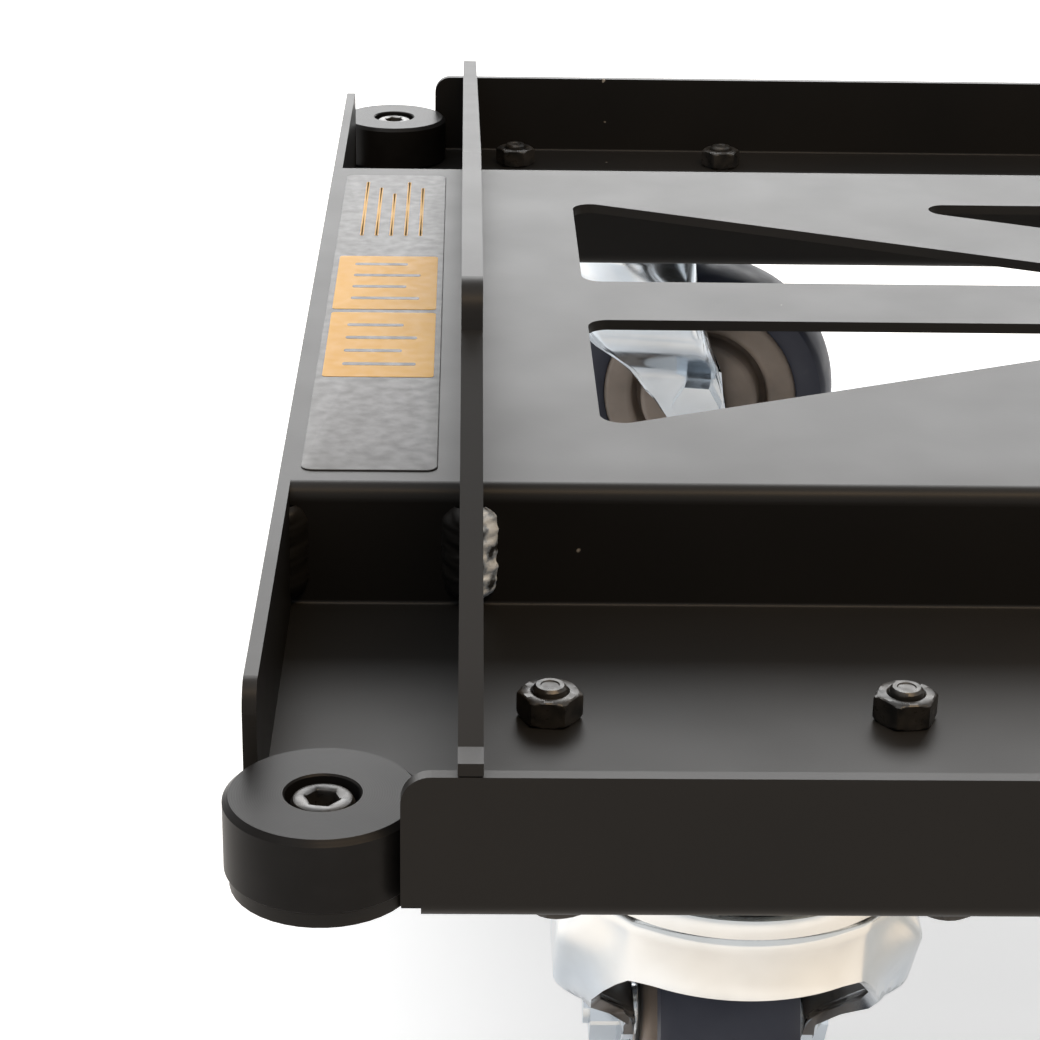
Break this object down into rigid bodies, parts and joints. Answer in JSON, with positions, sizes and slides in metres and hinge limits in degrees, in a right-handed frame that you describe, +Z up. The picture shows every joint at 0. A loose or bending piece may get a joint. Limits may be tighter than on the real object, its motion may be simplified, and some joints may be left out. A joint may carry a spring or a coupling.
{
  "type": "castor dolly",
  "caption": "Low black steel castor dolly with a cut-out deck, side trays, raised rib plates, corner bumper rollers and swivel castors.",
  "frame": {"origin": "on the ground under the middle of the frame", "axes": "+X along the length, +Y towards the back, +Z up"},
  "size_m": [0.7256, 0.584, 0.213],
  "materials": {
    "black_powder_coat": "fine satin powder coat",
    "weld_bead": "rippled bead, thinly coated",
    "plate_face": "grey printed film with plain yellow panels",
    "zinc_plated_steel": "bright blue zinc plate",
    "polished_steel": "ground and polished",
    "black_steel": "blackened, lightly oiled",
    "black_nylon": "turned nylon",
    "grey_nylon": "moulded, beige grey",
    "navy_tyre": "smooth elastic rubber"
  },
  "bodies": {
    "frame": {"base_pan": "black_powder_coat", "end_plate_left": "black_powder_coat", "rib_plate_left": "black_powder_coat", "end_plate_right": "black_powder_coat", "rib_plate_right": "black_powder_coat", "rib_welds": "weld_bead", "end_plate_welds": "weld_bead", "rating_plate": "plate_face", "bumper_bushes": "zinc_plated_steel", "bumper_washers": "zinc_plated_steel", "bumper_nuts": "zinc_plated_steel", "bumper_screws": "black_steel", "castor_bolts": "black_steel", "castor_nuts": "black_steel", "kingpins": "zinc_plated_steel", "kingpin_nuts": "zinc_plated_steel", "swivel_balls": "polished_steel", "castor_plate_front_left": "zinc_plated_steel", "castor_plate_front_right": "zinc_plated_steel", "castor_plate_back_left": "zinc_plated_steel", "castor_plate_back_right": "zinc_plated_steel"},
    "castor_fork_front_left": {"fork_front_left": "zinc_plated_steel", "axle_tube_front_left": "polished_steel", "axle_bolt_front_left": "zinc_plated_steel", "axle_nut_front_left": "zinc_plated_steel"},
    "castor_wheel_front_left": {"tyre_front_left": "navy_tyre", "wheel_centre_front_left": "grey_nylon", "wheel_bush_front_left": "black_nylon"},
    "bumper_front_left": {"bumper_roller_front_left": "black_nylon"},
    "castor_fork_front_right": {"fork_front_right": "zinc_plated_steel", "axle_tube_front_right": "polished_steel", "axle_bolt_front_right": "zinc_plated_steel", "axle_nut_front_right": "zinc_plated_steel"},
    "castor_wheel_front_right": {"tyre_front_right": "navy_tyre", "wheel_centre_front_right": "grey_nylon", "wheel_bush_front_right": "black_nylon"},
    "bumper_front_right": {"bumper_roller_front_right": "black_nylon"},
    "castor_fork_back_left": {"fork_back_left": "zinc_plated_steel", "axle_tube_back_left": "polished_steel", "axle_bolt_back_left": "zinc_plated_steel", "axle_nut_back_left": "zinc_plated_steel"},
    "castor_wheel_back_left": {"tyre_back_left": "navy_tyre", "wheel_centre_back_left": "grey_nylon", "wheel_bush_back_left": "black_nylon"},
    "bumper_back_left": {"bumper_roller_back_left": "black_nylon"},
    "castor_fork_back_right": {"fork_back_right": "zinc_plated_steel", "axle_tube_back_right": "polished_steel", "axle_bolt_back_right": "zinc_plated_steel", "axle_nut_back_right": "zinc_plated_steel"},
    "castor_wheel_back_right": {"tyre_back_right": "navy_tyre", "wheel_centre_back_right": "grey_nylon", "wheel_bush_back_right": "black_nylon"},
    "bumper_back_right": {"bumper_roller_back_right": "black_nylon"}
  },
  "joints": [
    {"name": "swivel_front_left", "type": "hinge", "parent": "frame", "child": "castor_fork_front_left", "pos_m": [-0.2555, -0.2359, 0.116], "axis": [0, 0, 1], "continuous": true},
    {"name": "wheel_spin_front_left", "type": "hinge", "parent": "castor_fork_front_left", "child": "castor_wheel_front_left", "pos_m": [-0.2555, -0.2019, 0.05], "axis": [-1, 0, 0], "continuous": true},
    {"name": "swivel_front_right", "type": "hinge", "parent": "frame", "child": "castor_fork_front_right", "pos_m": [0.2555, -0.2359, 0.116], "axis": [0, 0, 1], "continuous": true},
    {"name": "wheel_spin_front_right", "type": "hinge", "parent": "castor_fork_front_right", "child": "castor_wheel_front_right", "pos_m": [0.24276, -0.20438, 0.05], "axis": [-0.9272, -0.3746, 0], "continuous": true},
    {"name": "swivel_back_left", "type": "hinge", "parent": "frame", "child": "castor_fork_back_left", "pos_m": [-0.2555, 0.2359, 0.116], "axis": [0, 0, 1], "continuous": true},
    {"name": "wheel_spin_back_left", "type": "hinge", "parent": "castor_fork_back_left", "child": "castor_wheel_back_left", "pos_m": [-0.22202, 0.23, 0.05], "axis": [0.1736, 0.9848, 0], "continuous": true},
    {"name": "swivel_back_right", "type": "hinge", "parent": "frame", "child": "castor_fork_back_right", "pos_m": [0.2555, 0.2359, 0.116], "axis": [0, 0, 1], "continuous": true},
    {"name": "wheel_spin_back_right", "type": "hinge", "parent": "castor_fork_back_right", "child": "castor_wheel_back_right", "pos_m": [0.22469, 0.22153, 0.05], "axis": [0.4226, -0.9063, 0], "continuous": true},
    {"name": "bumper_spin_front_left", "type": "hinge", "parent": "frame", "child": "bumper_front_left", "pos_m": [-0.3428, -0.272, 0.136], "axis": [0, 0, 1], "continuous": true},
    {"name": "bumper_spin_front_right", "type": "hinge", "parent": "frame", "child": "bumper_front_right", "pos_m": [0.3428, -0.272, 0.136], "axis": [0, 0, 1], "continuous": true},
    {"name": "bumper_spin_back_left", "type": "hinge", "parent": "frame", "child": "bumper_back_left", "pos_m": [-0.3428, 0.272, 0.136], "axis": [0, 0, 1], "continuous": true},
    {"name": "bumper_spin_back_right", "type": "hinge", "parent": "frame", "child": "bumper_back_right", "pos_m": [0.3428, 0.272, 0.136], "axis": [0, 0, 1], "continuous": true}
  ]
}
